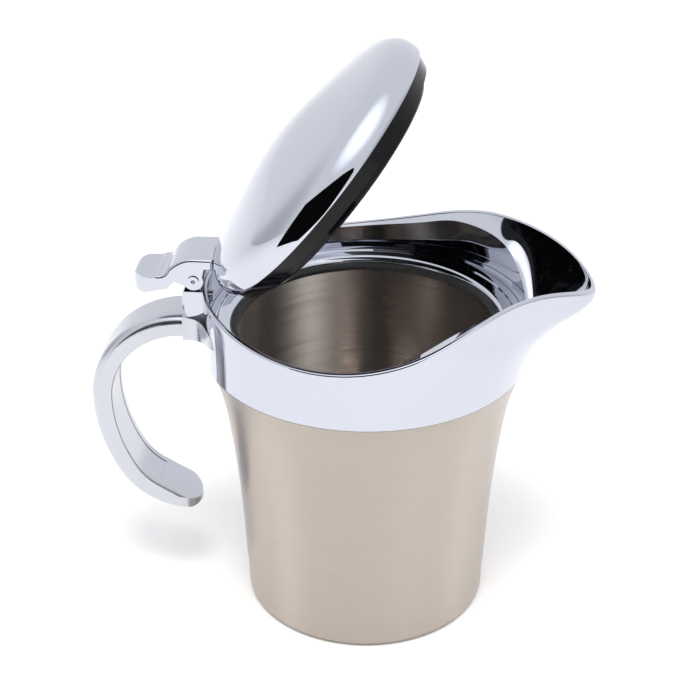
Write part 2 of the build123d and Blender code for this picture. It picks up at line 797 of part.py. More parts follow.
# Thumb lever: a strap from the lid over the pin, two cheeks and a dished tab
with BuildPart() as thumb_lever:
    with BuildSketch(lever_section):
        with BuildLine():
            strap = Line((strap_root_x, strap_top), (0, strap_top))
            back = Spline(strap @ 1, *lever_back, tab_start, tangents=[(-1, 0), (-1, 0)])
            Spline(back @ 1, tab_dish, tab_tip, *tab_end, tab_heel, *tab_under, tab_root)
            Polyline(tab_root, strap_bend, (strap_low_x, strap_low), (strap_root_x, strap_low), strap @ 0)
        make_face()
    extrude(amount=lever_half, both=True)
    with BuildSketch(Plane.XY):
        with Locations((hinge_x + tab_end_x + tab_corner, 0)):
            Rectangle(2 * tab_corner + 2 * cut_past, 3 * lever_half)
            Rectangle(2 * tab_corner, 3 * lever_half, align=(Align.MIN, Align.CENTER), mode=Mode.SUBTRACT)
        with Locations((hinge_x + tab_end_x + tab_corner, 0)):
            Ellipse(tab_corner, lever_half, mode=Mode.SUBTRACT)
    extrude(amount=2 * hinge_z, mode=Mode.SUBTRACT)
    for side in (-1, 1):
        with BuildSketch(lever_section.offset(-side * cheek_inner)):
            Circle(cheek_r)
            with BuildLine():
                Polyline(*cheek_web, cheek_web[0])
            make_face()
        extrude(amount=-side * (lever_half - cheek_inner))
    add(lid_stock.part, mode=Mode.SUBTRACT)
    lever_edges = thumb_lever.faces().filter_by(Axis.Y).edges().filter_by(GeomType.CIRCLE, reverse=True)
    outer_edges = lever_edges.filter_by(lambda edge: abs((edge @ 0.5).Y) > lever_half - radius_match)
    fillet(outer_edges.filter_by_position(Axis.Z, hinge_z + lever_fillet, hinge_z + lid_r), lever_fillet)
    add(pin_along_y(hinge_x, hinge_z, pin_r, -lever_half, lever_half), mode=Mode.SUBTRACT)
    for side in (-1, 1):
        add(lever_screw_bar(side, screw_r), mode=Mode.SUBTRACT)
thumb_lever.part.label = "thumb_lever"
export_step(thumb_lever.part, "parts/thumb_lever.step")

# Screws: two hold the handle and one the hinge block from inside the collar, two hold the lever
with BuildPart() as handle_screws:
    for side in (-1, 1):
        add(handle_screw_bar(side, screw_r))
        seat = Plane(origin=(handle_screw_seat, side * handle_screw_y, handle_screw_z), z_dir=(-1, 0, 0))
        add(screw_head(seat))
handle_screws.part.label = "handle_screws"
export_step(handle_screws.part, "parts/handle_screws.step")

with BuildPart() as block_screw:
    add(block_screw_bar(screw_r))
    add(screw_head(Plane(origin=(knuckle_screw_seat, 0, knuckle_screw_z), z_dir=(-1, 0, 0))))
block_screw.part.label = "block_screw"
export_step(block_screw.part, "parts/block_screw.step")

with BuildPart() as lever_screws:
    for side in (-1, 1):
        add(lever_screw_bar(side, screw_r))
        add(screw_head(lever_screw_seat_plane(side)))
lever_screws.part.label = "lever_screws"
export_step(lever_screws.part, "parts/lever_screws.step")
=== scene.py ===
# %% [markdown]
# # An insulated gravy boat
#
# A gravy boat of this kind is two pots in one: a brushed outer shell, a brushed inner cup, and
# nothing but vacuum between them. A chromed collar with a long spout is fitted on top, and a
# foam-filled lid is hinged at the back, over the handle.
#
# Most shapes come from the CAD model, so the first step only loads it. Three pieces are made again
# here, because a mirror shows every facet and every change of a curve: the collar, the ring that the
# lid sits on, and the lid's dome. The rest of the work is what the eye reads as metal: how each
# piece was polished or brushed, and the light around it.

from math import atan2, cos, degrees, hypot, pi, radians, sin, tan

import bpy
import numpy as np
from mathutils import Matrix, Vector


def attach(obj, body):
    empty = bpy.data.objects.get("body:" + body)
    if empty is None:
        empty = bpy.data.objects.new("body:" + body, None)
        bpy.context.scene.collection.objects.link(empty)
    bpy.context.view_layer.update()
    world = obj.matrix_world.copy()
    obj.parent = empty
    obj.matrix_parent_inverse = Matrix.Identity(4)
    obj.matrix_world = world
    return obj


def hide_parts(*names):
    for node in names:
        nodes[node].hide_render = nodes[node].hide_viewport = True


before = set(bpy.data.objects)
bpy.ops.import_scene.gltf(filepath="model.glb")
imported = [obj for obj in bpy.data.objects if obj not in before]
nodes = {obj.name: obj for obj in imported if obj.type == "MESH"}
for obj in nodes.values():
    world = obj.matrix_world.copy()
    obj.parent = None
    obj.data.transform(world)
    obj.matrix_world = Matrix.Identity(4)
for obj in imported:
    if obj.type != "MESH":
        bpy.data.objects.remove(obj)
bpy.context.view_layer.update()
mm = 0.001

# %% [markdown]
# ## How a finish is built
#
# Every finish below is one Principled shader with a few nodes in front of it. They read Object
# coordinates, so a pattern has the same size on every piece and doesn't slide when the lid moves.
# The helpers keep each finish short: one starts a material, one adds a noise, one squeezes a noise
# into a range of values, one turns it into a colour, and one into a fine relief.

# %% Helpers for the finishes


def new_finish(name, colour, metallic, roughness, **others):
    """A material with a Principled shader, its plain values set on the shader's own sockets."""
    material = bpy.data.materials.new(name)
    material.use_nodes = True
    shader = material.node_tree.nodes["Principled BSDF"]
    shader.inputs["Base Color"].default_value = (*colour, 1.0)
    shader.inputs["Metallic"].default_value = metallic
    shader.inputs["Roughness"].default_value = roughness
    for socket, value in others.items():
        shader.inputs[socket.replace("_", " ")].default_value = value
    return material, shader


def object_noise(material, scale, stretch=(1, 1, 1), detail=2.0):
    """A noise on Object coordinates, in features per metre, stretched along chosen axes."""
    tree = material.node_tree
    place = tree.nodes.new("ShaderNodeTexCoord")
    turn = tree.nodes.new("ShaderNodeMapping")
    noise = tree.nodes.new("ShaderNodeTexNoise")
    turn.inputs["Scale"].default_value = stretch
    noise.inputs["Scale"].default_value = scale
    noise.inputs["Detail"].default_value = detail
    tree.links.new(place.outputs["Object"], turn.inputs["Vector"])
    tree.links.new(turn.outputs["Vector"], noise.inputs["Vector"])
    return noise.outputs["Fac"]


def squeezed(tree, value, low, high, start=0.3, end=0.7):
    """A value from start to end, mapped to a range from low to high."""
    node = tree.nodes.new("ShaderNodeMapRange")
    node.inputs["From Min"].default_value = start
    node.inputs["From Max"].default_value = end
    node.inputs["To Min"].default_value = low
    node.inputs["To Max"].default_value = high
    tree.links.new(value, node.inputs["Value"])
    return node.outputs["Result"]


def toned(material, shader, value, dark, light):
    """Gives the shader a colour between two tones, chosen by a value."""
    tree = material.node_tree
    node = tree.nodes.new("ShaderNodeMix")
    node.data_type = "RGBA"
    node.inputs["A"].default_value = (*dark, 1.0)
    node.inputs["B"].default_value = (*light, 1.0)
    tree.links.new(value, node.inputs["Factor"])
    tree.links.new(node.outputs["Result"], shader.inputs["Base Color"])


def bumped(material, shader, value, height):
    """Gives the shader a fine relief, with its height in metres."""
    tree = material.node_tree
    node = tree.nodes.new("ShaderNodeBump")
    node.inputs["Strength"].default_value = 1.0
    node.inputs["Distance"].default_value = height
    tree.links.new(value, node.inputs["Height"])
    tree.links.new(node.outputs["Normal"], shader.inputs["Normal"])


# %% [markdown]
# ## Brushed steel
#
# The shell was turned against a belt, so its scratches run round it in level lines. A noise that is
# drawn out far along X and Y, and left fine along Z, gives such lines without a texture picture. A
# broad, weak noise on top of the fine one makes some bands of lines a little lighter.
#
# Scratches also spread every reflection across themselves, so a lamp becomes a tall streak. The
# anisotropic setting does that once it knows the scratches' way: a radial tangent runs round the Z
# axis, as the belt did, and a quarter turn sets the streaks upright. Inside the cup the belt was
# coarser, so its lines are wider. The cup's colour is also painted darker: painted shade that stands
# in for the dark reflections of the cup itself and of the black plug over it.

# %% Brushed steel, for the shell, the foot and the cup
fine_stretch = (0.006, 0.006, 1.0)
broad_stretch = (0.01, 0.01, 1.0)
broad_lines_per_fine = 0.2
fine_range = (0.15, 0.5)
broad_share = 0.18
grain_range = (0.2, 0.75)
upright = 0.25


def brushed_steel(name, dark, light, rough_low, rough_high, lines, relief):
    """Steel with level brush lines round the Z axis."""
    material, shader = new_finish(
        name, light, 1.0, rough_low, Anisotropic=0.8, Anisotropic_Rotation=upright
    )
    tree = material.node_tree
    tangent = tree.nodes.new("ShaderNodeTangent")
    tangent.direction_type = "RADIAL"
    tangent.axis = "Z"
    tree.links.new(tangent.outputs["Tangent"], shader.inputs["Tangent"])
    fine = object_noise(material, lines, fine_stretch, detail=3.0)
    broad = object_noise(material, lines * broad_lines_per_fine, broad_stretch)
    mixed = tree.nodes.new("ShaderNodeMath")
    mixed.operation = "MULTIPLY_ADD"
    mixed.inputs[1].default_value = broad_share
    tree.links.new(broad, mixed.inputs[0])
    tree.links.new(squeezed(tree, fine, *fine_range), mixed.inputs[2])
    grain = mixed.outputs["Value"]
    toned(material, shader, squeezed(tree, grain, 0.0, 1.0, *grain_range), dark, light)
    polish = squeezed(tree, grain, rough_high, rough_low, *grain_range)
    tree.links.new(polish, shader.inputs["Roughness"])
    bumped(material, shader, fine, relief)
    return material


brushed_shell = brushed_steel(
    "brushed_shell", (0.43, 0.378, 0.336), (0.49, 0.438, 0.394), 0.26, 0.34, 8000.0, 0.000001
)
# The cup's dark tone is painted shade for the dark that the cup and the black plug over it would
# mirror; the change between the two tones follows the brush lines.
brushed_cup = brushed_steel(
    "brushed_cup", (0.12, 0.105, 0.095), (0.50, 0.46, 0.43), 0.16, 0.28, 1700.0, 0.000002
)
print("brushed finishes:", brushed_shell.name, brushed_cup.name)

# %% [markdown]
# ## Chrome
#
# Chrome is a mirror with a faint blue cast. A perfect mirror looks drawn, though: real plating keeps
# a little of the waviness of the casting under it, and fingers leave a haze. A very low relief, a few
# centimetres wide, bends the reflections slightly, and a second noise varies the roughness. The same
# recipe with more haze and a finer relief gives satin plating and the plain steel of screws.

# %% Chrome, mirror and satin, and plain steel
haze_scale = 60.0


def chrome(name, colour, rough_low, rough_high, relief, wave):
    """Plated metal whose haze and waviness vary slowly."""
    material, shader = new_finish(name, colour, 1.0, rough_low)
    tree = material.node_tree
    haze = object_noise(material, haze_scale, detail=4.0)
    tree.links.new(squeezed(tree, haze, rough_low, rough_high), shader.inputs["Roughness"])
    bumped(material, shader, object_noise(material, wave, detail=1.0), relief)
    return material


mirror_chrome = chrome("mirror_chrome", (0.55, 0.57, 0.64), 0.012, 0.04, 0.00001, 35.0)
satin_chrome = chrome("satin_chrome", (0.55, 0.565, 0.62), 0.20, 0.28, 0.000002, 900.0)
plain_steel = chrome("plain_steel", (0.60, 0.60, 0.61), 0.22, 0.34, 0.00001, 300.0)
print("plated finishes:", mirror_chrome.name, satin_chrome.name, plain_steel.name)

# %% [markdown]
# ## Plastic, rubber and foam
#
# The plug under the lid is moulded in glossy black plastic. Its gloss is uneven in a slow, soft way,
# from the mould, so its noise is large and weak. Rubber, nylon and foam are duller, with a finer
# grain.

# %% Plastic, rubber, nylon and foam


def moulded(name, dark, light, rough_low, rough_high, grain, relief, gloss=0.5):
    """Moulded material with a slight change of tone and gloss over its surface."""
    material, shader = new_finish(name, light, 0.0, rough_low, Specular_IOR_Level=gloss)
    tree = material.node_tree
    noise = object_noise(material, grain, detail=3.0)
    toned(material, shader, squeezed(tree, noise, 0.0, 1.0), dark, light)
    tree.links.new(squeezed(tree, noise, rough_low, rough_high), shader.inputs["Roughness"])
    bumped(material, shader, noise, relief)
    return material


black_plug = moulded(
    "black_plug", (0.003, 0.003, 0.0035), (0.006, 0.006, 0.007), 0.05, 0.10, 120.0, 0.000004, 0.2
)
dark_rubber = moulded(
    "dark_rubber", (0.010, 0.010, 0.011), (0.02, 0.02, 0.021), 0.45, 0.6, 900.0, 0.00002
)
nylon = moulded("nylon", (0.66, 0.65, 0.62), (0.74, 0.73, 0.70), 0.4, 0.5, 700.0, 0.00001)
foam = moulded("foam", (0.62, 0.58, 0.48), (0.78, 0.74, 0.62), 0.85, 0.95, 1500.0, 0.0002)
print("moulded finishes:", black_plug.name, dark_rubber.name, nylon.name, foam.name)

# %% [markdown]
# ## Give every piece its finish
#
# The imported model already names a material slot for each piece. The slot's material is swapped for
# the finish with the same name, and the meshes stay as they are.

# %% Assign the finishes
finishes = {
    "brushed_shell": brushed_shell,
    "brushed_cup": brushed_cup,
    "mirror_chrome": mirror_chrome,
    "satin_chrome": satin_chrome,
    "plain_steel": plain_steel,
    "black_plug": black_plug,
    "dark_rubber": dark_rubber,
    "nylon": nylon,
    "foam": foam,
}
for node in nodes.values():
    for slot in node.material_slots:
        slot.material = finishes[slot.material.name.split(".")[0]]
print("slots filled:", sum(len(node.material_slots) for node in nodes.values()))

# %% [markdown]
# ## The collar with its pouring spout
#
# The collar is the hardest piece. Outside, a round ring grows into a long spout. Inside, a round
# well meets an open trough along a crease, and the trough's sides lean outwards so far that they
# mirror the lid. The real one is cast in zinc, polished on a soft wheel and plated, which leaves
# such flowing sides with one sharp crease.
#
# No chain of extrudes and bevels gives those sides, so the collar is made as a net of quads. Each
# column of points runs once round the metal: up the outer skin, over the rim, down the trough and
# the well, and back underneath. The first thing it needs is curves: a spline through chosen points
# for heights and radii, and the Bezier curve that the CAD model uses for the spout's flanks.

# %% Curves through points


def smooth_curve(knots, values):
    """A cubic spline with free ends through values at knots, as a function."""
    # The unknowns are how strongly the curve bends at each knot. Between two knots the bend changes
    # evenly, and the slopes on both sides of a knot agree, which gives one equation for each knot.
    knots, values = np.array(knots, float), np.array(values, float)
    step = np.diff(knots)
    bend = np.zeros((len(knots), len(knots)))
    pull = np.zeros(len(knots))
    bend[0, 0] = bend[-1, -1] = 1.0
    for i in range(1, len(knots) - 1):
        bend[i, i - 1 : i + 2] = step[i - 1], 2 * (step[i - 1] + step[i]), step[i]
        slope_before = (values[i] - values[i - 1]) / step[i - 1]
        slope_after = (values[i + 1] - values[i]) / step[i]
        pull[i] = 6 * (slope_after - slope_before)
    curve = np.linalg.solve(bend, pull)

    def at(place):
        i = int(np.clip(np.searchsorted(knots, place) - 1, 0, len(step) - 1))
        a, b = knots[i + 1] - place, place - knots[i]
        return (
            (curve[i] * a**3 + curve[i + 1] * b**3) / (6 * step[i])
            + (values[i] / step[i] - curve[i] * step[i] / 6) * a
            + (values[i + 1] / step[i] - curve[i + 1] * step[i] / 6) * b
        )

    return at


def line_curves(points):
    """Curves for both coordinates against the way along the points, and each point's way."""
    ways = [0.0]
    for (x0, y0), (x1, y1) in zip(points, points[1:]):
        ways.append(ways[-1] + hypot(x1 - x0, y1 - y0))
    firsts, seconds = zip(*points)
    return smooth_curve(ways, firsts), smooth_curve(ways, seconds), ways


def bezier(points, share):
    """A point on a Bezier curve."""
    points = [Vector(point) for point in points]
    while len(points) > 1:
        points = [a.lerp(b, share) for a, b in zip(points, points[1:])]
    return points[0]


print("half way up a slope that gets steeper:", round(smooth_curve([0, 1, 2], [0, 1, 4])(1.5), 2))

# %% [markdown]
# Seen from above, the collar is an arc at the back, a turn on each side, and two flanks that meet at
# the spout's tip. With height the arc flares, its middle moves towards the spout, and the tip comes
# out along a quarter of a cosine wave. The values are those of the CAD model, in millimetres.

# %% Plan outline of the collar at a height
seam_z = 95.0
seam_r = 54.5
flare_top_z = 117.0
collar_top_r = 57.5
collar_shift = 2.7
spout_reach = 75.8
spout_top_z = 119.5
spout_rise = 32.0
spout_start = 75.0
spout_depart = 10.0
spout_spread = 1.25
spout_draw = 1.4
spout_draw_low = 112.0
spout_draw_rise = 10.0
flank_arm = 0.304
flank_reach = 1.083
flank_reach_loss = 0.617
flank_width = 0.493
flank_width_gain = 0.045
nose_width = 0.267
nose_width_gain = 0.145
arc_steps, turn_steps, flank_steps = 44, 34, 60


def collar_outline(z):
    """Half of the collar's plan outline at a height, from the back round to the spout's tip."""
    flare = min(1.0, (z - seam_z) / (flare_top_z - seam_z))
    centre = collar_shift * flare
    radius = seam_r + (collar_top_r - seam_r) * flare
    tip_rise = min(1.0, (z - seam_z) / (spout_top_z - seam_z))
    tip = seam_r + (spout_reach - seam_r) * (1 - cos(pi / 2 * tip_rise))
    climb = min(z - seam_z, spout_rise)
    rise = climb / spout_rise
    start = radians(spout_start)
    depart = radians(spout_depart + spout_spread * climb)
    drawn = radius - spout_draw * min(1.0, max(0.0, (z - spout_draw_low) / spout_draw_rise))
    # The middle points of a Bezier curve that stands in for an arc lie this far along its tangents
    arm = 4 / 3 * tan((start - depart) / 4) * radius
    back = (centre + radius * cos(start), radius * sin(start))
    leave = (centre + drawn * cos(depart), drawn * sin(depart))
    reach = tip - leave[0]
    shoulder = flank_reach - flank_reach_loss * rise
    turned = [
        back,
        (back[0] + arm * sin(start), back[1] - arm * cos(start)),
        (leave[0] - arm * sin(depart), leave[1] + arm * cos(depart)),
        leave,
    ]
    flank = [
        leave,
        (leave[0] + flank_arm * reach * sin(depart), leave[1] - flank_arm * reach * cos(depart)),
        (leave[0] + shoulder * reach, leave[1] * (flank_width + flank_width_gain * rise)),
        (tip, leave[1] * (nose_width + nose_width_gain * rise)),
        (tip, 0),
    ]
    angles = [pi + (start - pi) * i / arc_steps for i in range(arc_steps)]
    points = [(centre + radius * cos(angle), radius * sin(angle)) for angle in angles]
    points += [tuple(bezier(turned, i / turn_steps)) for i in range(turn_steps)]
    points += [tuple(bezier(flank, i / flank_steps)) for i in range(flank_steps + 1)]
    return points


collar_foot_z = 95.15
stock_top_z = 134.0
collar_levels = [collar_foot_z, 98, 101, 104, 107, 110, 113, 116, 119.5, 123, 127, 130, stock_top_z]
outlines = np.array([collar_outline(z) for z in collar_levels])
print("half outline:", outlines.shape[1], "points at", outlines.shape[0], "heights")

# %% [markdown]
# The rim is a saddle: level behind the hinge, low at the sides, and highest before it dips to the
# spout's tip. It is one curve in side view, so its height depends only on the place along the boat.
# Each column of the skin climbs until it meets that curve, and the place is found by halving the
# height again and again.

# %% The rim, and the columns of the outer skin
hinge_x = -57.0
rim_back_z = 119.9
rim_tip_z = 121.6
past_tip = 4.0
rim_points = [
    (-spout_reach, rim_back_z),
    (hinge_x, rim_back_z),
    (-18.0, 116.2),
    (20.0, 121.6),
    (50.0, 130.4),
    (spout_reach, rim_tip_z),
    (spout_reach + past_tip, rim_tip_z - past_tip),
]
rim_samples = 3000
rim_x, rim_z, rim_ways = line_curves(rim_points)
rim_spots = np.linspace(0, rim_ways[-1], rim_samples)
rim_xs = np.array([rim_x(spot) for spot in rim_spots])
rim_zs = np.array([rim_z(spot) for spot in rim_spots])
ledge_z = 108.0
halvings = 40
search_top_z = stock_top_z - 0.1


def rim_height(x):
    """Height of the rim over a place along the boat."""
    return float(np.interp(x, rim_xs, rim_zs))


def meets_rim(skin_x):
    """The height at which a column of the skin reaches the rim."""
    low, high = ledge_z, search_top_z
    for _ in range(halvings):
        z = (low + high) / 2
        low, high = (z, high) if rim_height(skin_x(z)) > z else (low, z)
    return z


def mirrored(curve):
    """The same curve on the boat's other side."""
    return lambda z: -curve(z)


half = []
for k in range(outlines.shape[1]):
    skin_x = smooth_curve(collar_levels, outlines[:, k, 0])
    skin_y = smooth_curve(collar_levels, outlines[:, k, 1])
    half.append((skin_x, skin_y, meets_rim(skin_x)))
columns = half + [(skin_x, mirrored(skin_y), top) for skin_x, skin_y, top in half[-2:0:-1]]
print("rim from", round(min(top for *_, top in half), 1), "to", round(max(top for *_, top in half), 1))

# %% [markdown]
# The rim is about 2 mm wide. Its outer edge is rounded more than its inner one, as polishing leaves
# it: the wheel reaches the outside best. Where the back wall of the well comes close, the rim is
# narrower.

# %% The rim's width and its rounded edges
rim_width = 1.9
rim_clearance = 0.2
outer_round = 0.7
inner_round = 0.35
round_steps = 6
well_middle = Vector((0.6, 0))
well_r = 54.0

edge = [Vector((skin_x(top), skin_y(top))) for skin_x, skin_y, top in columns]
outward = []
for k in range(len(edge)):
    run = (edge[(k + 1) % len(edge)] - edge[k - 1]).normalized()
    outward.append(Vector((-run.y, run.x)))
room = [(point - well_middle).length - well_r - rim_clearance for point in edge]
widths = [min(rim_width, space) for space in room]
inner = [point - way * width for point, way, width in zip(edge, outward, widths)]


def rim_rows(point, way, width):
    """Points over the rim: the outer rounding, the top and the inner rounding."""
    turns = [pi / 2 * i / round_steps for i in range(round_steps + 1)]
    rounds = [(outer_round * (1 - cos(turn)), outer_round * (sin(turn) - 1)) for turn in turns]
    rounds += [
        (width - inner_round * (1 - sin(turn)), inner_round * (cos(turn) - 1)) for turn in turns
    ]
    places = [(point - way * inset, drop) for inset, drop in rounds]
    return [(place.x, place.y, rim_height(place.x) + drop) for place, drop in places]


print("rim width from", round(min(widths), 2), "to", round(max(widths), 2), "mm")

# %% [markdown]
# The trough's floor is lowest just outside the well and climbs from there to the spout's lip. Across
# the boat, the surface rises from that floor to the rim as a parabola. Over the well the floor's
# line goes on, though nothing of it is left there: it only sets how the trough's sides lean. The
# heights and the crease's radii were found by trial against the photograph: a mirror has the right
# slope when the right thing shows in it, and here that is the black plug. Towards the back there
# is no trough, and the same rows become a small bevel, so the two forms are blended along the boat.

# %% The trough and the crease
# Places along the boat and the floor's height there
floor_points = [
    (20, 122),
    (28, 120.5),
    (38, 118),
    (44, 117),
    (48.5, 114.5),
    (52, 109.5),
    (55, 106.5),
    (60, 109),
    (66, 113.6),
    (71, 117.8),
    (75, 122.3),
]
# Degrees round the well, from the spout, and the crease's radius there
crease_points = [
    (-30, 54),
    (0, 54),
    (14, 53.6),
    (26, 51.9),
    (38, 50.9),
    (50, 50.9),
    (66, 52.6),
    (82, 53.9),
    (110, 54),
    (180, 54),
]
floor_at = smooth_curve(*zip(*floor_points))
crease_radius_at = smooth_curve(*zip(*crease_points))
floor_end_x = 74.9
narrow_tip = 0.4
floor_above_ledge = 0.1
floor_blend = 0.8
crease_tries = 8
inner_xs = [point.x for point in inner[: len(half)]]
inner_ys = [abs(point.y) for point in inner[: len(half)]]


def eased(value, start, end):
    """0 before start, 1 after end, and a soft change between them."""
    share = min(1.0, max(0.0, (value - start) / (end - start)))
    return share * share * (3 - 2 * share)


def trough_height(point):
    """Height of the trough's open side over a plan point, never under the ledge."""
    width = float(np.interp(point.x, inner_xs, inner_ys))
    share = 1.0 if width < narrow_tip else min(1.0, abs(point.y) / width) ** 2
    top = rim_height(point.x) - inner_round
    z = floor_at(min(point.x, floor_end_x)) * (1 - share) + top * share
    low = ledge_z + floor_above_ledge
    return min(top, 0.5 * (z + low + hypot(z - low, floor_blend)))


def reach_to_crease(end, run):
    """How far the crease lies from a point of the rim, along a line that runs in over the well."""
    off = end - well_middle
    radius = well_r
    for _ in range(crease_tries):
        reach = -off.dot(run) - (off.dot(run) ** 2 - off.length_squared + radius**2) ** 0.5
        met = end + run * reach - well_middle
        radius = crease_radius_at(abs(degrees(atan2(met.y, met.x))))
    return reach


print("trough floor at x 60:", round(trough_height(Vector((60.0, 0.0))), 1), "mm")

# %% [markdown]
# Now the rows of a column can be listed in order. Inwards from the rim, each column aims at the
# middle of the well, or at a point nearer the spout for the columns of the trough. Below the crease
# the wall stands nearly upright down to the ledge, where the seat ring lies in a recess, and under
# that the bore fits the neck.

# %% Lay the net
outer_rows, trough_rows, well_rows = 22, 20, 6
aim_x = 20
aim_from_x, aim_full_x = 0, 30
trough_from_x, trough_full_x = 8, 34
bevel_slope = 0.5
seat_z = 105.0
seat_hole_r = 53.1
bore_r = 52.55
underside = [(seat_hole_r, ledge_z), (seat_hole_r, seat_z), (bore_r, seat_z), (bore_r, collar_foot_z)]


def skin_side(skin_x, skin_y, top):
    """Points up the outer skin, from the seam to the rim's rounding."""
    climb = top - outer_round - collar_foot_z
    heights = [collar_foot_z + climb * i / outer_rows for i in range(outer_rows)]
    return [(skin_x(z), skin_y(z), z) for z in heights]


def trough_side(point, end):
    """Points from the rim's inner edge down the trough, or down the bevel, to the crease."""
    aim_shift = (aim_x - well_middle.x) * eased(point.x, aim_from_x, aim_full_x)
    aim = Vector((well_middle.x + aim_shift, 0))
    run = (aim - end).normalized()
    reach = reach_to_crease(end, run)
    opened = eased(point.x, trough_from_x, trough_full_x)
    side = []
    for i in range(1, trough_rows + 1):
        place = end + run * reach * i / trough_rows
        bevel = rim_height(end.x) - inner_round - bevel_slope * reach * i / trough_rows
        side.append((place.x, place.y, bevel + (trough_height(place) - bevel) * opened))
    return side


def well_side(crease_x, crease_y, crease_z):
    """Points from the crease down the well to the ledge, and back underneath."""
    crease = Vector((crease_x, crease_y))
    way = (crease - well_middle).normalized()
    foot = way * well_r + well_middle
    side = []
    for i in range(1, well_rows + 1):
        place = crease.lerp(foot, i / well_rows)
        side.append((place.x, place.y, crease_z + (ledge_z - crease_z) * i / well_rows))
    return side + [(way.x * radius, way.y * radius, z) for radius, z in underside]


net = []
for (skin_x, skin_y, top), point, way, width, end in zip(columns, edge, outward, widths, inner):
    column = skin_side(skin_x, skin_y, top) + rim_rows(point, way, width) + trough_side(point, end)
    net.append(column + well_side(*column[-1]))
print("collar net:", len(net), "columns of", len(net[0]), "points")

# %% [markdown]
# The net becomes a mesh by joining each point to its neighbours in its own column and the next.
# Edit mode then turns all faces outwards, and smooth shading stops at angles over 25 degrees, which
# keeps the crease sharp. The finished net takes the place of the CAD collar on the boat.

# %% Make the collar from its net


def take_into_edit(piece):
    """Puts a new piece into the scene, alone, in edit mode and selected all over."""
    bpy.context.scene.collection.objects.link(piece)
    bpy.ops.object.select_all(action="DESELECT")
    bpy.context.view_layer.objects.active = piece
    piece.select_set(True)
    bpy.ops.object.mode_set(mode="EDIT")
    bpy.ops.mesh.select_all(action="SELECT")


def leave_edit(sharp_from):
    """Turns the faces outwards, leaves edit mode and smooths all but the sharp edges."""
    bpy.ops.mesh.normals_make_consistent(inside=False)
    bpy.ops.object.mode_set(mode="OBJECT")
    bpy.ops.object.shade_smooth_by_angle(angle=radians(sharp_from))


rings, rows = len(net), len(net[0])
net_points = [tuple(value * mm for value in place) for column in net for place in column]
quads = []
for k in range(rings):
    this, after = k * rows, (k + 1) % rings * rows
    for i in range(rows):
        j = (i + 1) % rows
        quads.append((this + i, this + j, after + j, after + i))
collar_mesh = bpy.data.meshes.new("collar_net")
collar_mesh.from_pydata(net_points, [], quads)
collar_net = bpy.data.objects.new("collar_net", collar_mesh)
take_into_edit(collar_net)
leave_edit(sharp_from=25)
collar_net.data.materials.append(mirror_chrome)
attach(collar_net, "boat")
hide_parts("collar")
print("collar:", len(quads), "quads, top at", round(max(p[2] for p in net_points) / mm, 2), "mm")

# %% [markdown]
# ## Two turned pieces: the ledge and the lid's dome
#
# Inside the collar lies a separate ring, pressed in and polished. Its flat ledge has a shallow step
# before it rounds down into the mouth, and that step draws the thin dark and bright circles which
# the eye sees there. The dome over it is round too. A cylinder with bevels would give straight bands
# with even rounds, so both are made as on a lathe instead: the section is drawn once as a closed
# line of radii and heights, and spun round the Z axis. The spin's start and end are merged.

# %% Spin a section into a piece
spin_steps = 192
merge_within = 0.005 * mm


def turned_piece(name, section, slot, node, body, place=None):
    """A round piece from a closed section of (radius, height) points, in millimetres."""
    count = len(section)
    corners = [(radius * mm, 0, z * mm) for radius, z in section]
    mesh = bpy.data.meshes.new(name)
    mesh.from_pydata(corners, [(i, (i + 1) % count) for i in range(count)], [])
    piece = bpy.data.objects.new(name, mesh)
    take_into_edit(piece)
    bpy.ops.mesh.spin(steps=spin_steps, angle=2 * pi, center=(0, 0, 0), axis=(0, 0, 1))
    bpy.ops.mesh.select_all(action="SELECT")
    bpy.ops.mesh.remove_doubles(threshold=merge_within)
    leave_edit(sharp_from=35)
    if place:
        piece.data.transform(place)
    piece.data.materials.append(finishes[slot])
    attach(piece, body)
    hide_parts(node)
    print(name, "has", len(piece.data.polygons), "faces")


# %% [markdown]
# The ring's section goes once round its metal: up the outside, over the ledge and its step, round
# the lip of the mouth, and back along the bottom.

# %% Seat ring
ring_section = [
    (53.0, seat_z),
    (53.0, 107.8),
    (52.8, ledge_z),
    (50.6, ledge_z),
    (50.35, 107.9),
    (50.05, 107.35),
    (49.8, 107.25),
    (47.3, 107.2),
    (46.5, 107.0),
    (45.9, 106.65),
    (45.45, 106.1),
    (45.25, 105.5),
    (45.2, seat_z),
]
turned_piece("seat_ring_turned", ring_section, "mirror_chrome", "seat_ring", "boat")

# %% [markdown]
# The lid's dome is spun from sheet over a wooden form, so its shoulder is soft: it starts to lean in
# just above the rim, and long reflections bend round it. Its outer line is a curve through a few
# points, which runs on past the crown to the other side, so that it is level there. The inner line
# follows it at the sheet's thickness. The dome is turned upright, then tilted back as far as the
# lid stands open, with its middle at the lid's place.

# %% Lid dome
crown_height = 18.0
dome_half = [
    (50.16, 1.2),
    (49.97, 3.4),
    (49.25, 5.6),
    (47.7, 7.85),
    (45.2, 9.7),
    (42.0, 11.0),
    (34.0, 13.1),
    (25.0, 14.95),
    (12.0, 17.2),
    (0.0, crown_height),
]
beyond_crown = [(-radius, height) for radius, height in dome_half[-2:-4:-1]]
rim_bead = [(49.3, 0.0), (49.75, 0.0), (50.0, 0.12), (50.16, 0.45)]
rim_inside = (49.3, 1.2)
dome_steps = 56
dome_wall = 0.85
little = 0.01

dome_r, dome_h, dome_ways = line_curves(dome_half + beyond_crown)
crown_way = dome_ways[len(dome_half) - 1]
outside, inside = [], []
for i in range(dome_steps + 1):
    spot = crown_way * i / dome_steps
    radius, height = dome_r(spot), dome_h(spot)
    run_r, run_h = dome_r(spot + little) - radius, dome_h(spot + little) - height
    run = hypot(run_r, run_h)
    outside.append((max(radius, 0.0), height))
    inside.append((max(radius - dome_wall * run_h / run, 0.0), height + dome_wall * run_r / run))
inside[-1] = (0.0, crown_height - dome_wall)
dome_section = rim_bead + outside + inside[::-1] + [rim_inside]

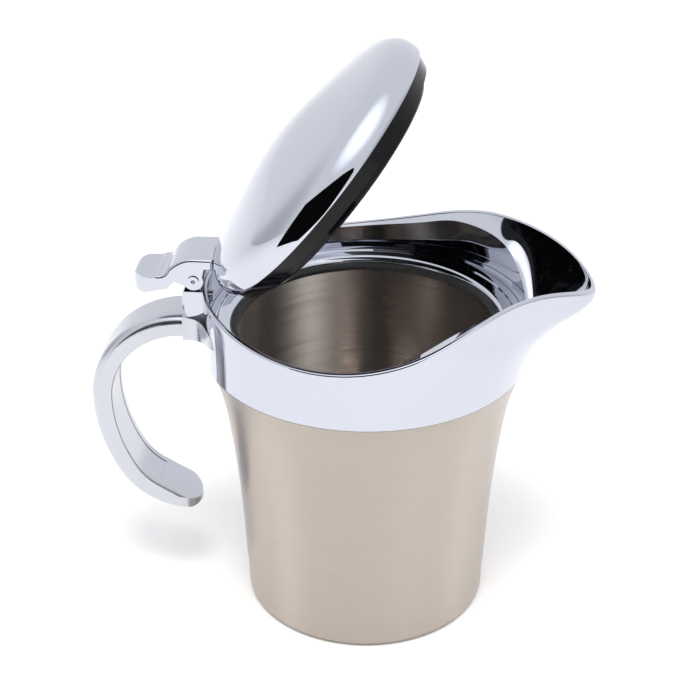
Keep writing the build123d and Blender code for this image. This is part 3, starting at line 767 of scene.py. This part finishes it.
lid_tilt = radians(51.5)
lid_middle = Vector((-14.67, 0.0, 160.14)) * mm
lid_place = Matrix.Translation(lid_middle) @ Matrix.Rotation(-lid_tilt, 4, "Y")
turned_piece("lid_dome_turned", dome_section, "mirror_chrome", "lid_cap", "lid", lid_place)

# %% [markdown]
# ## The table
#
# Chrome shows what is round it, so the room matters as much as the metal. The real one stood on a
# white table. The camera looks down on it, so one wide plane fills the view to its corners. Its
# white is broken up by a weak, slow noise.

# %% White table
table_size = 6.0
patches_per_metre = 3.0
white, white_shader = new_finish("studio_white", (0.93, 0.93, 0.935), 0.0, 0.6)
table_noise = squeezed(white.node_tree, object_noise(white, patches_per_metre), 0.0, 1.0)
toned(white, white_shader, table_noise, (0.92, 0.92, 0.925), (0.94, 0.94, 0.945))
bpy.ops.object.select_all(action="DESELECT")
bpy.ops.mesh.primitive_plane_add(size=table_size, location=(0, 0, 0))
floor = bpy.context.object
floor.name = "studio_floor"
floor.data.materials.append(white)
print("table:", floor.dimensions.x, "m wide")

# %% [markdown]
# ## Light from the room
#
# A white room is lit all round, so the world gives an even, slightly cool light. Two changes make
# the metal read as round. To the left and right the room is dimmer, which darkens the sides of
# the shell and the collar. Overhead, a little to the front, it glows as a large ceiling lamp does,
# which whitens what looks up. Both depend only on the direction in which the room is seen.

# %% World
world = bpy.data.worlds.new("studio")
world.use_nodes = True
sky = world.node_tree
background = sky.nodes["Background"]
background.inputs["Color"].default_value = (0.97, 0.98, 1.0, 1.0)
side_from, side_level = 0.45, 0.66
glow_way = (0.05, -0.32, 0.945)
glow_from, glow_full = 0.80, 0.985
glow_extra = 0.9


def eased_range(tree, value, start, end, low, high):
    """A value squeezed into a range with a soft start and end."""
    result = squeezed(tree, value, low, high, start, end)
    result.node.interpolation_type = "SMOOTHSTEP"
    return result


direction = sky.nodes.new("ShaderNodeTexCoord").outputs["Generated"]
split = sky.nodes.new("ShaderNodeSeparateXYZ")
sideways = sky.nodes.new("ShaderNodeMath")
sideways.operation = "MULTIPLY"
sky.links.new(direction, split.inputs["Vector"])
sky.links.new(split.outputs["X"], sideways.inputs[0])
sky.links.new(split.outputs["X"], sideways.inputs[1])
dimmed = eased_range(sky, sideways.outputs["Value"], side_from, 1.0, 1.0, side_level)

towards = sky.nodes.new("ShaderNodeVectorMath")
towards.operation = "DOT_PRODUCT"
towards.inputs[1].default_value = glow_way
sky.links.new(direction, towards.inputs[0])
glow = eased_range(sky, towards.outputs["Value"], glow_from, glow_full, 0.0, glow_extra)

total = sky.nodes.new("ShaderNodeMath")
sky.links.new(dimmed, total.inputs[0])
sky.links.new(glow, total.inputs[1])
sky.links.new(total.outputs["Value"], background.inputs["Strength"])
bpy.context.scene.world = world
print("room:", len(sky.nodes), "nodes")

# %% [markdown]
# ## Panels
#
# Brushed steel needs lamps of its own for its tall streaks, two for the outside and two for the cup.
# A mirror would show the same lamps as hard white slivers, so light linking lets each panel light
# only the pieces in its group, and a last one only the table in front of the boat.

# %% Panel lights


def panel_light(name, place, aim, width, height, power, colour=(1.0, 1.0, 1.0)):
    """A rectangular soft light that looks at a point."""
    data = bpy.data.lights.new(name, "AREA")
    data.shape = "RECTANGLE"
    data.size = width
    data.size_y = height
    data.energy = power
    data.color = colour
    light = bpy.data.objects.new(name, data)
    bpy.context.scene.collection.objects.link(light)
    turn = (Vector(aim) - Vector(place)).to_track_quat("-Z", "Y").to_matrix().to_4x4()
    light.matrix_world = Matrix.Translation(place) @ turn
    return light


middle = (0.0, 0.0, 0.06)
left_panel = panel_light("left_panel", (-1.1, -0.5, 0.35), middle, 0.35, 0.9, 6.0)
right_panel = panel_light("right_panel", (1.2, -0.05, 0.35), middle, 0.35, 0.9, 6.0)
cup_left = panel_light("cup_left_panel", (0.62, -0.30, 0.85), middle, 0.36, 0.7, 190.0)
cup_right = panel_light("cup_right_panel", (-0.60, -0.28, 0.85), middle, 0.14, 0.7, 40.0)
floor_panel = panel_light(
    "floor_panel", (0.0, -0.45, 1.3), (0.0, -0.25, 0.0), 0.5, 0.4, 8.5, (1.0, 0.96, 0.88)
)

lit_groups = {
    "outside_brushed": ((nodes["outer_shell"], nodes["foot_cap"]), (left_panel, right_panel)),
    "inside_brushed": ((nodes["inner_cup"],), (cup_left, cup_right)),
    "floor_only": ((floor,), (floor_panel,)),
}
for name, (lit, lights) in lit_groups.items():
    group = bpy.data.collections.new(name)
    for piece in lit:
        group.objects.link(piece)
    for light in lights:
        light.light_linking.receiver_collection = group

# %% [markdown]
# ## A dark card
#
# The black shape low on the lid is the dark side of the studio, behind the camera, bent by the
# dome's shoulder. A card of black felt stands in for it, close in front of the boat. Only mirrors
# see it: it is hidden from the camera, casts no shadow and takes no light from the table.

# %% Dark card
card_place = (-0.085, -0.33, 0.168)
card_width, card_height = 0.49, 0.33
bpy.ops.object.select_all(action="DESELECT")
bpy.ops.mesh.primitive_plane_add(size=1.0, location=card_place, rotation=(radians(90), 0, 0))
dark_card = bpy.context.object
dark_card.name = "dark_card"
dark_card.scale = (card_width, card_height, 1.0)
dark_card.visible_camera = False
dark_card.visible_diffuse = False
dark_card.visible_shadow = False
black_felt, _ = new_finish("black_felt", (0.004, 0.004, 0.004), 0.0, 1.0, Specular_IOR_Level=0.0)
dark_card.data.materials.append(black_felt)
print("card:", card_width, "by", card_height, "m")

# %% [markdown]
# ## Camera
#
# The camera stands where the photographer's did: in front, a little to the right, and looking down
# at 29 degrees. A long lens keeps the boat's sides nearly parallel. The Standard view transform
# keeps white as white.

# %% Camera
camera_place = Vector((38.35, -534.94, 393.40)) * mm
look_down = radians(28.84)
look_left = radians(-0.96)
stand_round = radians(4.1)
roll = radians(-0.16)
lens = 95.29

ahead = Vector((sin(look_left) * cos(look_down), cos(look_left) * cos(look_down), -sin(look_down)))
right = Vector((cos(look_left), -sin(look_left), 0.0))
up = right.cross(ahead)
rolled_right = cos(roll) * right + sin(roll) * up
rolled_up = cos(roll) * up - sin(roll) * right
turn_round = Matrix.Rotation(stand_round, 3, "Z")
axes = [turn_round @ axis for axis in (rolled_right, rolled_up, -ahead)]
camera_data = bpy.data.cameras.new("camera")
camera_data.lens = lens
camera_data.sensor_width = 36.0
camera_data.clip_start = 0.01
camera = bpy.data.objects.new("camera", camera_data)
bpy.context.scene.collection.objects.link(camera)
camera.matrix_world = Matrix.Translation(camera_place) @ Matrix(axes).transposed().to_4x4()
bpy.context.scene.camera = camera
bpy.context.scene.view_settings.view_transform = "Standard"
print("camera at", [round(v, 3) for v in camera_place])
